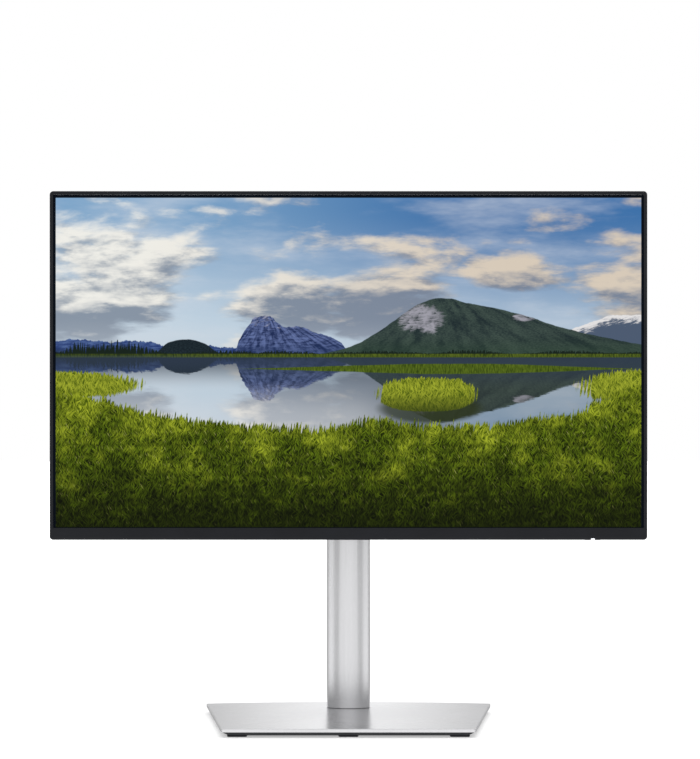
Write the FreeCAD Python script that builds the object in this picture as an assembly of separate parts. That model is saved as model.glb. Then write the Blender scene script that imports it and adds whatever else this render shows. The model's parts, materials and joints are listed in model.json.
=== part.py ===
import FreeCAD, Part
import math
import os

# Desktop computer monitor on a height-adjustable stand, in millimetres.
# +Z is up, the screen faces -Y and +X is to the right of someone facing the screen.
# The origin is on the swivel axis, on the desk. The modelled pose has the display head raised
# far enough that its corners clear the base while it turns from landscape to portrait.

# ---------------------------------------------------------------- driving dimensions
# Display head
HEAD_W = 537.8            # outer width
HEAD_H = 314.0            # outer height
ACTIVE_W = 527.0          # picture width, 23.8 inch diagonal class
ACTIVE_H = 296.5          # picture height
TOP_BORDER = 6.0          # head edge to picture, at the top
RIM = 3.1                 # visible frame at the sides and the top
HEAD_Z = 325.0            # pivot axis and screen centre above the desk
FRONT_Y = -80.0           # front plane of the head
BEZEL_DEPTH = 9.0
LIP = 1.2                 # thickness of the frame lip in front of the panel
WALL = 1.6                # frame side wall
HEAD_CORNER = 3.3         # outer corner radius of the head
COVER_WALL = 2.2          # rear cover wall
BACK_Y = -60.0            # flat rear face around the bulge
BULGE_Y = -38.0           # rear face of the bulge
RECESS = 124.0            # square stand recess in the bulge
RECESS_Y = -50.0          # floor of that recess
BOLT_SPACING = 100.0      # square pattern of the M4 mounting holes
BOLT_R = 2.0              # M4 thread, half its diameter

# Stand
BASE_FRONT_W = 222.0
BASE_BACK_W = 267.0
BASE_FRONT_Y = -149.0
BASE_CORNER_Y = 17.0      # where the straight sides end
BASE_BACK_Y = 29.0        # furthest point of the curved back edge
FOOT_H = 1.4
COVER_H = 3.6
PLATE_H = 3.0
RISER_W = 40.0
RISER_FRONT = -20.0       # middle of the convex front
RISER_BACK = 20.0
RISER_TOP = 358.0
SHELL_WALL = 2.8
TRAVEL_UP = 14.4          # lift left above the modelled pose
TRAVEL_DOWN = 135.6       # lift below it

# Stand head
TILT_Y = -30.0            # tilt axis, level with the pivot axis
TILT_PIN_R = 3.5
PIVOT_R = 8.0             # pivot journal
RUN = 0.05                # radial clearance of a running fit

# Derived heights and places
HEAD_BOTTOM = HEAD_Z - HEAD_H / 2
HEAD_TOP = HEAD_Z + HEAD_H / 2
ACTIVE_TOP = HEAD_TOP - TOP_BORDER
ACTIVE_BOTTOM = ACTIVE_TOP - ACTIVE_H
ACTIVE_Z = (ACTIVE_TOP + ACTIVE_BOTTOM) / 2
SPLIT_Y = FRONT_Y + BEZEL_DEPTH
COVER_TOP_Z = FOOT_H + COVER_H
BASE_TOP = COVER_TOP_Z + PLATE_H
RISER_GAP = 0.4           # between the base and the turning riser

V = FreeCAD.Vector
X_AXIS = V(1, 0, 0)
Y_AXIS = V(0, 1, 0)
Z_AXIS = V(0, 0, 1)
nodes = {}


# ---------------------------------------------------------------- shape helpers
def block(x0, x1, y0, y1, z0, z1):
    """A box between two corners."""
    return Part.makeBox(x1 - x0, y1 - y0, z1 - z0, V(x0, y0, z0))


def rod(radius, start, end):
    """A solid cylinder from one point to another."""
    along = V(*end) - V(*start)
    return Part.makeCylinder(radius, along.Length, V(*start), along)


def tube(outer, inner, start, end):
    """A hollow cylinder from one point to another."""
    return rod(outer, start, end).cut(rod(inner, start, end))


def joined(*shapes):
    """One solid from touching shapes."""
    result = shapes[0]
    for shape in shapes[1:]:
        result = result.fuse(shape)
    return result.removeSplitter()


def without(shape, *tools):
    """The shape with each tool cut out of it."""
    for tool in tools:
        shape = shape.cut(tool)
    return shape


def mirrored(shape):
    """The shape's mirror image across the middle plane of the monitor."""
    return shape.mirror(V(0, 0, 0), X_AXIS)


def both_sides(shape):
    """The shape and its mirror image, as separate solids."""
    return Part.makeCompound([shape, mirrored(shape)])


def rounded_wire(width, height, radius, y, cx=0.0, cz=HEAD_Z):
    """A rectangle with rounded corners, standing in the plane at y."""
    half_w = width / 2
    half_h = height / 2
    bend = radius * (1 - math.sqrt(0.5))
    edges = []
    corners = [(1, -1), (1, 1), (-1, 1), (-1, -1)]
    ends = []
    for sx, sz in corners:
        low = V(cx + sx * half_w, y, cz + sz * (half_h - radius))
        flat = V(cx + sx * (half_w - radius), y, cz + sz * half_h)
        middle = V(cx + sx * (half_w - bend), y, cz + sz * (half_h - bend))
        first, last = (flat, low) if sx * sz < 0 else (low, flat)
        edges.append(Part.Arc(first, middle, last).toShape())
        ends.append((first, last))
    for i, (_, last) in enumerate(ends):
        following = ends[(i + 1) % len(ends)][0]
        edges.append(Part.makeLine(last, following))
    return Part.Wire(Part.__sortEdges__(edges))


def rounded_plate(width, height, radius, y0, y1, cx=0.0, cz=HEAD_Z):
    """A rounded rectangle made solid between two depths."""
    face = Part.Face(rounded_wire(width, height, radius, y0, cx, cz))
    return face.extrude(V(0, y1 - y0, 0))


def lofted(*wires):
    """A solid with straight sides through a row of outlines."""
    return Part.makeLoft(list(wires), True, True)


def prism(points, axis, length):
    """A solid from a closed outline of points, pushed along an axis."""
    outline = Part.makePolygon([V(*p) for p in points] + [V(*points[0])])
    return Part.Face(outline).extrude(axis * length)


def hexagon(flats, start, end):
    """A hexagonal bar from one point to another, along Y or Z."""
    along = V(*end) - V(*start)
    corner = flats / math.sqrt(3)
    points = []
    for i in range(6):
        a = math.radians(60 * i)
        u = corner * math.cos(a)
        w = corner * math.sin(a)
        offset = V(u, 0, w) if abs(along.y) > 0 else V(u, w, 0)
        points.append(V(*start) + offset)
    return Part.Face(Part.makePolygon(points + [points[0]])).extrude(along)


def softened(shape, radius, chosen):
    """The shape with a fillet on each edge that the test picks."""
    edges = [e for e in shape.Edges if chosen(e)]
    return shape.makeFillet(radius, edges)


def is_vertical(edge):
    """True for a straight edge that runs along Z."""
    return len(edge.Vertexes) == 2 and abs(edge.tangentAt(edge.FirstParameter).z) > 0.999


def lies_at(edge, axis, value):
    """True if the whole edge lies in the plane where the axis has that value."""
    box = edge.BoundBox
    low = {"x": box.XMin, "y": box.YMin, "z": box.ZMin}[axis]
    high = {"x": box.XMax, "y": box.YMax, "z": box.ZMax}[axis]
    return abs(low - value) < 0.01 and abs(high - value) < 0.01


def keep(name, shape):
    """Stores a finished sub-part under its node name."""
    nodes[name] = shape


# ---------------------------------------------------------------- base
BASE_SCREW_R = 1.5
BASE_SCREW_HEAD = 2.8
BASE_SCREWS = [(-88, -121), (88, -121), (-98, 2), (98, 2)]
COVER_FLOOR = 1.0
COVER_UNDERCUT = 6.5      # how far the cover's sides lean in by the bottom
BASE_CORNER = 1.8
HUB_R = 11.95
THUMB_WELL_R = 13.5
RING_R = 10.2
RING_WIRE = 0.7
RING_Z = 3.1


def base_outline(inset, z):
    """The base's plan: straight front, sides that open towards the back, curved back edge."""
    front = BASE_FRONT_W / 2 - inset
    back = BASE_BACK_W / 2 - inset
    front_y = BASE_FRONT_Y + inset
    corner_y = BASE_CORNER_Y - inset
    back_y = BASE_BACK_Y - inset
    a = V(-front, front_y, z)
    b = V(front, front_y, z)
    c = V(back, corner_y, z)
    d = V(-back, corner_y, z)
    arc = Part.Arc(c, V(0, back_y, z), d).toShape()
    return Part.Wire([Part.makeLine(a, b), Part.makeLine(b, c), arc, Part.makeLine(d, a)])


def base_slab(inset, z0, z1, corner):
    """A slab with the base's plan and rounded upright corners."""
    slab = Part.Face(base_outline(inset, z0)).extrude(V(0, 0, z1 - z0))
    return softened(slab, corner, is_vertical)


def base_screw_columns(radius, z0, z1):
    """A column at each of the base screws' places."""
    return [rod(radius, (x, y, z0), (x, y, z1)) for x, y in BASE_SCREWS]


def make_base():
    plate = base_slab(0.0, COVER_TOP_Z, BASE_TOP, BASE_CORNER)
    plate = softened(plate, 0.5, lambda e: lies_at(e, "z", BASE_TOP))
    plate = without(plate, rod(HUB_R + RUN, (0, 0, 0), (0, 0, 20)))
    keep("base_plate", without(plate, *base_screw_columns(BASE_SCREW_R, COVER_TOP_Z, BASE_TOP - 1)))

    rim = lofted(base_outline(COVER_UNDERCUT, FOOT_H), base_outline(0.8, COVER_TOP_Z))
    pocket = base_slab(COVER_UNDERCUT + 2.0, FOOT_H + COVER_FLOOR, COVER_TOP_Z, 5.0)
    cover = without(rim, pocket, rod(THUMB_WELL_R, (0, 0, 0), (0, 0, 5)))
    cover = without(cover, *base_screw_columns(BASE_SCREW_HEAD + 0.1, 0, FOOT_H + COVER_FLOOR))
    keep("base_cover", cover)

    weight_z = FOOT_H + COVER_FLOOR
    weight = base_slab(COVER_UNDERCUT + 2.3, weight_z, COVER_TOP_Z, 5.0)
    well = rod(THUMB_WELL_R, (0, 0, weight_z), (0, 0, weight_z + 1.6))
    weight = without(weight, well, rod(3.3, (0, 0, 0), (0, 0, 6)))
    keep("base_weight", without(weight, *base_screw_columns(BASE_SCREW_R + 0.1, 0, COVER_TOP_Z)))

    screws = []
    for x, y in BASE_SCREWS:
        head = rod(BASE_SCREW_HEAD, (x, y, FOOT_H + 0.1), (x, y, weight_z))
        cross = joined(block(x - 1.6, x + 1.6, y - 0.3, y + 0.3, 0, FOOT_H + 0.6),
                       block(x - 0.3, x + 0.3, y - 1.6, y + 1.6, 0, FOOT_H + 0.6))
        shank = rod(BASE_SCREW_R - 0.02, (x, y, weight_z), (x, y, BASE_TOP - 1.2))
        screws.append(without(joined(head, shank), cross))
    keep("base_screws", Part.makeCompound(screws))


def make_feet():
    """Three pads along the front edge and two under the back corners."""
    length, depth = 17.5, 11.0
    front_y = BASE_FRONT_Y + COVER_UNDERCUT + depth / 2
    places = [(-97.5, front_y), (0, front_y), (97.5, front_y), (-112, 4), (112, 4)]
    feet = []
    for x, y in places:
        pad = block(x - length / 2, x + length / 2, y - depth / 2, y + depth / 2, 0, FOOT_H)
        pad = softened(pad, 2.0, is_vertical)
        feet.append(softened(pad, 0.8, lambda e: lies_at(e, "z", 0)))
    keep("rubber_feet", Part.makeCompound(feet))


def make_swivel():
    """The hub that the riser turns on, and the screw that holds the base to it."""
    spigot = rod(HUB_R, (0, 0, COVER_TOP_Z), (0, 0, BASE_TOP))
    flange = rod(16.0, (0, 0, BASE_TOP), (0, 0, BASE_TOP + 2))
    journal = rod(8.0, (0, 0, BASE_TOP + 2), (0, 0, 26))
    thread = rod(3.0, (0, 0, 0), (0, 0, 20))
    keep("swivel_hub", without(joined(spigot, flange, journal), thread))

    washers = [tube(13.0, 8.0 + RUN, (0, 0, z), (0, 0, z + 0.5)) for z in (18.05, 18.6)]
    keep("swivel_washers", Part.makeCompound(washers))
    nut = without(hexagon(21.0, (0, 0, 19.2), (0, 0, 24.0)), rod(8.02, (0, 0, 19), (0, 0, 25)))
    keep("swivel_nut", nut)

    head = softened(rod(8.5, (0, 0, 2.3), (0, 0, 3.95)), 0.3, lambda e: lies_at(e, "z", 2.3))
    shank = rod(2.95, (0, 0, 3.95), (0, 0, 18))
    pivots = rod(0.65, (-9, 0, RING_Z), (9, 0, RING_Z))
    coin_slot = block(-6, 6, -0.7, 0.7, 2.0, 2.42)
    keep("thumbscrew", without(joined(head, shank), pivots, coin_slot))

    section = Part.Face(Part.Wire(Part.makeCircle(RING_WIRE, V(RING_R, 0, RING_Z), Y_AXIS)))
    hoop = section.revolve(V(0, 0, 0), Z_AXIS, -180)
    end = rod(0.6, (7.6, 0, RING_Z), (RING_R, 0, RING_Z))
    knuckle = rod(RING_WIRE, (RING_R - RING_WIRE, 0, RING_Z), (RING_R + RING_WIRE, 0, RING_Z))
    keep("thumb_ring", joined(hoop, knuckle, mirrored(knuckle), end, mirrored(end)))


# ---------------------------------------------------------------- riser
RISER_BOTTOM = BASE_TOP + RISER_GAP
REAR_SPLIT = 14.0         # where the front shell meets the rear cover
ROD_X = 9.0               # guide rods
ROD_Y = -7.0
ROD_R = 3.0
ROD_BOTTOM = 128.0
COLUMN_TOP = RISER_TOP - 1.0
NECK_HALF = 9.0           # half the height of the carriage's neck
SLOT_HALF = 8.0           # half the width of the slot that the neck runs in
SLOT_PLAY = 5.2           # room left in the slot at each end of the travel
SLOT_BOTTOM = HEAD_Z - TRAVEL_DOWN - NECK_HALF - SLOT_PLAY
SLOT_TOP = HEAD_Z + TRAVEL_UP + NECK_HALF + SLOT_PLAY
FOOT_TOP = 18.0
FRONT_BULGE = 4.8         # depth of the riser's convex front
BACK_ROLL = 4.5           # rounding of its rear corners
DRUM_R = 8.0              # radius at which the spring strip leaves the coil
DRUM_Z = HEAD_Z - 22.0


def mirror_point(point):
    """The point on the other side of the monitor's middle plane."""
    return V(-point.x, point.y, point.z)


def riser_outline(z, inset=0.0, back_y=REAR_SPLIT, back_roll=0.0):
    """The riser's plan: a shallow convex front that rolls into flat sides."""
    half = RISER_W / 2 - inset
    front = RISER_FRONT + inset
    roll = 4.2 - 0.6 * inset
    shoulder = front + FRONT_BULGE
    knee_x = half - roll * 0.65
    side = shoulder + roll
    a = V(knee_x, shoulder, z)
    b = V(half - roll * 0.15, shoulder + roll * 0.38, z)
    c = V(half, side, z)
    nose = Part.Arc(mirror_point(a), V(0, front, z), a).toShape()
    d = V(half, back_y - inset - back_roll, z)
    e = V(half - back_roll, back_y - inset, z)
    right = [Part.Arc(a, b, c).toShape(), Part.makeLine(c, d)]
    if back_roll:
        bend = back_roll * (1 - math.sqrt(0.5))
        right.append(Part.Arc(d, V(half - bend, back_y - inset - bend, z), e).toShape())
    left = [edge.mirror(V(0, 0, 0), X_AXIS) for edge in right]
    back = Part.makeLine(e, mirror_point(e))
    return Part.Wire(Part.__sortEdges__([nose, back] + right + left))


def make_riser_shells():
    inner_x = RISER_W / 2 - SHELL_WALL
    body = Part.Face(riser_outline(RISER_BOTTOM)).extrude(V(0, 0, RISER_TOP - RISER_BOTTOM))
    hollow_plan = riser_outline(0.0, SHELL_WALL, REAR_SPLIT + SHELL_WALL + 1)
    hollow = Part.Face(hollow_plan).extrude(V(0, 0, RISER_TOP + 1))
    slot = block(-SLOT_HALF, SLOT_HALF, RISER_FRONT - 1, RISER_FRONT + 6, SLOT_BOTTOM, SLOT_TOP)
    slot = softened(slot, 4.0, lambda e: abs(e.tangentAt(0).y) > 0.999)
    keep("riser_front_shell", without(body, hollow, slot))

    half = RISER_W / 2
    back = block(-half, half, REAR_SPLIT + 0.2, RISER_BACK, RISER_BOTTOM, RISER_TOP)
    back = softened(back, BACK_ROLL, lambda e: is_vertical(e) and lies_at(e, "y", RISER_BACK))
    lip = block(-inner_x + 0.2, inner_x - 0.2, REAR_SPLIT - 2.0, REAR_SPLIT + 0.2,
                RISER_BOTTOM + 20, RISER_TOP - 2)
    room = block(-inner_x + 1.8, inner_x - 1.8, REAR_SPLIT - 3, RISER_BACK - 2.2, 0, RISER_TOP - 2)
    swivel_room = rod(16.5, (0, 0, 0), (0, 0, 30))
    back = without(joined(back, lip), room, swivel_room)
    clip_holes = [rod(1.6, (x, 15, 92), (x, 21, 92)) for x in (-5, 5)]
    keep("riser_rear_cover", without(back, *clip_holes))

    levels = [(RISER_TOP + 0.1, 0.0), (RISER_TOP + 2.5, 0.0), (RISER_TOP + 3.5, 1.0)]
    plans = [riser_outline(z, inset, RISER_BACK, BACK_ROLL) for z, inset in levels]
    keep("riser_top_cap", joined(lofted(*plans[:2]), lofted(*plans[1:])))


def make_riser_frame():
    """The steel column inside the riser, with the guide rods that carry the lift."""
    foot = block(-16.8, 16.8, -11.0, REAR_SPLIT - 2.2, BASE_TOP + 2.1, FOOT_TOP)
    keep("riser_foot", without(foot, rod(8.0 + RUN, (0, 0, 0), (0, 0, 20))))

    web = block(-16, 16, 9, 11, FOOT_TOP, COLUMN_TOP)
    flange = block(14.4, 16, -10, 9, FOOT_TOP, COLUMN_TOP)
    top_tab = block(-16, 16, -11, 9, COLUMN_TOP - 2.4, COLUMN_TOP)
    low_tab = block(-16, 16, -11, 9, ROD_BOTTOM, ROD_BOTTOM + 3)
    column = joined(web, flange, mirrored(flange), top_tab, low_tab)
    swivel_room = rod(13.6, (0, 0, FOOT_TOP), (0, 0, 30))
    holes = [rod(ROD_R + 0.01, (x, ROD_Y, 100), (x, ROD_Y, 400)) for x in (-ROD_X, ROD_X)]
    lightening = [rod(7.0, (0, 8, z), (0, 12, z)) for z in range(50, 340, 40)]
    keep("column_channel", without(column, swivel_room, *holes, *lightening))

    guide = rod(ROD_R, (ROD_X, ROD_Y, ROD_BOTTOM), (ROD_X, ROD_Y, COLUMN_TOP))
    keep("guide_rods", both_sides(guide))
    strip_top = COLUMN_TOP - 2.4
    keep("spring_strip", block(-5, 5, DRUM_R, DRUM_R + 0.2, DRUM_Z, strip_top))


def make_cable_clip():
    """An open ring on the back of the riser that gathers the cables."""
    clip_y = RISER_BACK + 10.5
    ring = tube(10.0, 8.2, (0, clip_y, 84), (0, clip_y, 100))
    mouth = prism([(0, clip_y, 80), (-9, clip_y + 14, 80), (9, clip_y + 14, 80)], Z_AXIS, 24)
    pad = block(-8, 8, RISER_BACK, RISER_BACK + 2.2, 84, 100)
    pegs = joined(*[rod(1.55, (x, RISER_BACK - 2.2, 92), (x, RISER_BACK + 1, 92)) for x in (-5, 5)],
                  block(-6, 6, RISER_BACK, RISER_BACK + 1, 90, 94))
    inside = rod(8.2, (0, clip_y, 83), (0, clip_y, 101))
    keep("cable_clip", without(joined(ring, pad, pegs), mouth, inside))


# ---------------------------------------------------------------- lift carriage and tilt hinge
CARRIAGE_LOW = HEAD_Z - 40.0
CARRIAGE_HIGH = HEAD_Z + 14.0
CARRIAGE_FRONT = -13.4
BUSH_R = 4.6
BUSH_H = 8.0


def make_carriage():
    body = block(-13.4, 13.4, CARRIAGE_FRONT, 5.0, CARRIAGE_LOW, CARRIAGE_HIGH)
    body = softened(body, 1.5, is_vertical)
    neck = block(-6.5, 6.5, -22.0, CARRIAGE_FRONT, HEAD_Z - NECK_HALF, HEAD_Z + NECK_HALF)
    bores = [rod(BUSH_R + 0.02, (x, ROD_Y, CARRIAGE_LOW - 1), (x, ROD_Y, CARRIAGE_HIGH + 1))
             for x in (-ROD_X, ROD_X)]
    drum_room = rod(DRUM_R + 0.8, (-6.6, 0, DRUM_Z), (6.6, 0, DRUM_Z))
    strip_room = block(-6, 6, 3.5, 6, DRUM_Z, CARRIAGE_HIGH + 1)
    axle = rod(2.0 + RUN, (-14, 0, DRUM_Z), (14, 0, DRUM_Z))
    keep("carriage", without(joined(body, neck), *bores, drum_room, strip_room, axle))

    bushes = []
    for z in (CARRIAGE_LOW, CARRIAGE_HIGH - BUSH_H):
        for x in (-ROD_X, ROD_X):
            bushes.append(tube(BUSH_R, ROD_R + RUN, (x, ROD_Y, z), (x, ROD_Y, z + BUSH_H)))
    keep("slide_bushes", Part.makeCompound(bushes))

    drum = joined(rod(6.0, (-5.4, 0, DRUM_Z), (5.4, 0, DRUM_Z)),
                  rod(2.0, (-12.5, 0, DRUM_Z), (12.5, 0, DRUM_Z)))
    keep("spring_drum", drum)
    coil = tube(DRUM_R - 0.05, 6.0, (-5.0, 0, DRUM_Z), (5.0, 0, DRUM_Z))
    keep("spring_coil", coil)


def hinge_ear(x0, x1, radius, root_y, pin_r):
    """A flat ear with a rounded end at the tilt axis, reaching to root_y."""
    knuckle = rod(radius, (x0, TILT_Y, HEAD_Z), (x1, TILT_Y, HEAD_Z))
    low, high = min(TILT_Y, root_y), max(TILT_Y, root_y)
    arm = block(x0, x1, low, high, HEAD_Z - radius, HEAD_Z + radius)
    return without(joined(knuckle, arm), rod(pin_r, (x0 - 1, TILT_Y, HEAD_Z), (x1 + 1, TILT_Y, HEAD_Z)))


def make_tilt_hinge():
    back = block(-19.0, 19.0, -24.2, -22.0, HEAD_Z - 8.8, HEAD_Z + 8.8)
    outer_ear = hinge_ear(16.5, 19.0, 6.5, -24.0, TILT_PIN_R + 0.01)
    keep("tilt_bracket", joined(back, outer_ear, mirrored(outer_ear)))

    keep("tilt_pin", rod(TILT_PIN_R, (-21.2, TILT_Y, HEAD_Z), (21.2, TILT_Y, HEAD_Z)))

    washer = tube(5.6, TILT_PIN_R + RUN, (15.6, TILT_Y, HEAD_Z), (16.4, TILT_Y, HEAD_Z))
    keep("tilt_washers", both_sides(washer))

    disc = rod(22.0, (0, -45.3, HEAD_Z), (0, -42.5, HEAD_Z))
    inner_ear = hinge_ear(12.5, 15.5, 5.5, -42.5, TILT_PIN_R + RUN)
    bracket = joined(disc, inner_ear, mirrored(inner_ear))
    keep("pivot_bracket", without(bracket, rod(PIVOT_R + RUN, (0, -50, HEAD_Z), (0, -40, HEAD_Z))))

    keep("hinge_shroud", shroud_shape())


def shroud_shape():
    """A moulded sleeve over the tilt hinge, open towards the head and towards the riser."""
    def side(grow, half_x):
        top = [(-42.2, 17.0), (-34.0, 17.0), (-27.5, 14.2)]
        upper = [(-half_x, y, HEAD_Z + z + grow) for y, z in top]
        lower = [(-half_x, y, HEAD_Z - z - grow) for y, z in reversed(top)]
        return prism(upper + lower, X_AXIS, 2 * half_x)

    outer = side(0.0, 23.4)
    outer = softened(outer, 2.5, lambda e: abs(e.tangentAt(0).y) > 0.9)
    return without(outer, side(-1.6, 21.8))


def make_pivot():
    """The quick-release plate and the shaft that lets the head turn to portrait."""
    plate = rounded_plate(84, 88, 6, RECESS_Y + 0.1, RECESS_Y + 2.6)
    hook_x0, hook_x1 = 16.0, 24.0
    stem = block(hook_x0, hook_x1, RECESS_Y - 4.4, RECESS_Y + 0.2, HEAD_Z + 35, HEAD_Z + 38)
    tip = block(hook_x0, hook_x1, RECESS_Y - 4.4, RECESS_Y - 2.6, HEAD_Z + 35, HEAD_Z + 41.5)
    window = block(-10.4, 10.4, RECESS_Y - 1, RECESS_Y + 3, HEAD_Z - 39.2, HEAD_Z - 26.0)
    hook = joined(stem, tip)
    keep("mount_plate", without(joined(plate, hook, mirrored(hook)), window))

    flange = rod(14.0, (0, RECESS_Y + 2.6, HEAD_Z), (0, -45.4, HEAD_Z))
    journal = rod(PIVOT_R, (0, -45.4, HEAD_Z), (0, -37.6, HEAD_Z))
    socket = hexagon(8.0, (0, -37.6, HEAD_Z), (0, -41.6, HEAD_Z))
    keep("pivot_shaft", without(joined(flange, journal), socket))

    washers = []
    for y in (-42.4, -41.9):
        washers.append(tube(12.0, PIVOT_R + RUN, (0, y, HEAD_Z), (0, y + 0.45, HEAD_Z)))
    keep("pivot_washers", Part.makeCompound(washers))
    nut = hexagon(20.0, (0, -41.4, HEAD_Z), (0, -38.2, HEAD_Z))
    keep("pivot_nut", without(nut, rod(PIVOT_R + 0.02, (0, -45, HEAD_Z), (0, -35, HEAD_Z))))


def make_release():
    """The sprung catch that holds the head on the stand, and its button."""
    low = HEAD_Z - 38.6
    tongue = block(-10, 10, RECESS_Y - 4.4, RECESS_Y + 2.8, low, low + 7.6)
    lip = block(-10, 10, RECESS_Y - 4.4, RECESS_Y - 2.6, low - 3.4, low + 1)
    keep("release_latch", joined(tongue, lip))

    button = block(-11, 11, RECESS_Y + 2.8, RECESS_Y + 9.4, HEAD_Z - 41.0, HEAD_Z - 32.5)
    button = softened(button, 1.2, lambda e: lies_at(e, "y", RECESS_Y + 9.4) or is_vertical(e))
    grip = [block(-7, 7, RECESS_Y + 9.0, RECESS_Y + 10, HEAD_Z + z, HEAD_Z + z + 0.7)
            for z in (-39.5, -37.6, -35.7)]
    keep("release_button", without(button, *grip))

    coil = tube(1.1, 0.7, (6, RECESS_Y + 1.4, low + 7.7), (6, RECESS_Y + 1.4, HEAD_Z - 26.1))
    keep("release_springs", both_sides(coil))


# ---------------------------------------------------------------- display head: front
LIGHT_X = 219.9           # the power light, with the power button right behind it
LIGHT_HALF = 1.6
LIGHT_DEPTH = 2.6
LIGHT_TOP = HEAD_BOTTOM + 1.3
CHIN_ROLL = 2.6           # rounding of the lower front edge
BUTTON_HALF = 7.0
BUTTON_Y0 = -76.0
BUTTON_Y1 = -72.3
STICK_X = 238.0           # joystick on the back, near the right-hand edge seen from the front
STICK_Z = HEAD_Z - 99.0
STICK_Y = -66.0           # centre of its gimbal
STICK_HOLE_R = 7.0


def make_bezel():
    """The front frame, with openings for the panel, the power light and the power button."""
    frame = rounded_plate(HEAD_W, HEAD_H, HEAD_CORNER, FRONT_Y, SPLIT_Y)
    frame = softened(frame, 0.5, lambda e: lies_at(e, "y", FRONT_Y))
    roll_y = FRONT_Y + CHIN_ROLL
    roll_z = HEAD_BOTTOM + CHIN_ROLL
    corner = block(-HEAD_W, HEAD_W, FRONT_Y - 1, roll_y, HEAD_BOTTOM - 1, roll_z)
    roll = rod(CHIN_ROLL, (-HEAD_W, roll_y, roll_z), (HEAD_W, roll_y, roll_z))
    frame = without(frame, corner.cut(roll))
    window_low = ACTIVE_BOTTOM - 0.6
    window_high = HEAD_TOP - RIM
    window_w = HEAD_W - 2 * RIM
    window = rounded_plate(window_w, window_high - window_low, 0.6, FRONT_Y - 1, SPLIT_Y,
                           0, (window_high + window_low) / 2)
    room = rounded_plate(HEAD_W - 2 * WALL, HEAD_H - 2 * WALL, 0.8, FRONT_Y + LIP, SPLIT_Y + 1)
    backing = block(-HEAD_W / 2 + WALL, HEAD_W / 2 - WALL, FRONT_Y + LIP, FRONT_Y + LIP + CHIN_ROLL,
                    HEAD_BOTTOM + 0.8, HEAD_BOTTOM + CHIN_ROLL + 0.6)
    light = block(LIGHT_X - LIGHT_HALF - 0.05, LIGHT_X + LIGHT_HALF + 0.05, FRONT_Y - 1,
                  FRONT_Y + LIGHT_DEPTH + 0.1, HEAD_BOTTOM - 1, LIGHT_TOP + 0.05)
    slot = block(LIGHT_X - BUTTON_HALF - 0.2, LIGHT_X + BUTTON_HALF + 0.2, BUTTON_Y0 - 0.2,
                 BUTTON_Y1 + 0.2, HEAD_BOTTOM - 1, HEAD_BOTTOM + WALL + 0.1)
    keep("front_bezel", without(joined(without(frame, window, room), backing.common(frame)), light, slot))

    pipe = block(LIGHT_X - LIGHT_HALF, LIGHT_X + LIGHT_HALF, FRONT_Y, FRONT_Y + LIGHT_DEPTH,
                 HEAD_BOTTOM, LIGHT_TOP)
    pipe = softened(pipe, 0.9, lambda e: lies_at(e, "y", FRONT_Y) and lies_at(e, "z", HEAD_BOTTOM))
    keep("power_light", pipe)


def make_power_button():
    """The key cap in the underside of the frame, and the switch board above it."""
    floor = HEAD_BOTTOM + WALL
    cap = block(LIGHT_X - BUTTON_HALF, LIGHT_X + BUTTON_HALF, BUTTON_Y0, BUTTON_Y1,
                HEAD_BOTTOM - 0.3, floor + 0.7)
    cap = softened(cap, 0.3, lambda e: lies_at(e, "z", HEAD_BOTTOM - 0.3))
    flange = block(LIGHT_X - BUTTON_HALF - 0.6, LIGHT_X + BUTTON_HALF + 0.6, BUTTON_Y0, BUTTON_Y1 + 0.6,
                   floor + 0.1, floor + 0.7)
    keep("power_button", joined(cap, flange))

    switch = block(LIGHT_X - 2.2, LIGHT_X + 2.2, BUTTON_Y0 + 0.4, BUTTON_Y1 - 0.4, floor + 1.35, floor + 2.6)
    board = block(LIGHT_X - 14, LIGHT_X + 14, -75.6, BUTTON_Y1 + 1.2, floor + 2.6, floor + 3.6)
    keep("key_board", joined(board, switch))


def stick_rod(radius, y0, y1):
    """A cylinder on the joystick's own axis."""
    return rod(radius, (STICK_X, y0, STICK_Z), (STICK_X, y1, STICK_Z))


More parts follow.
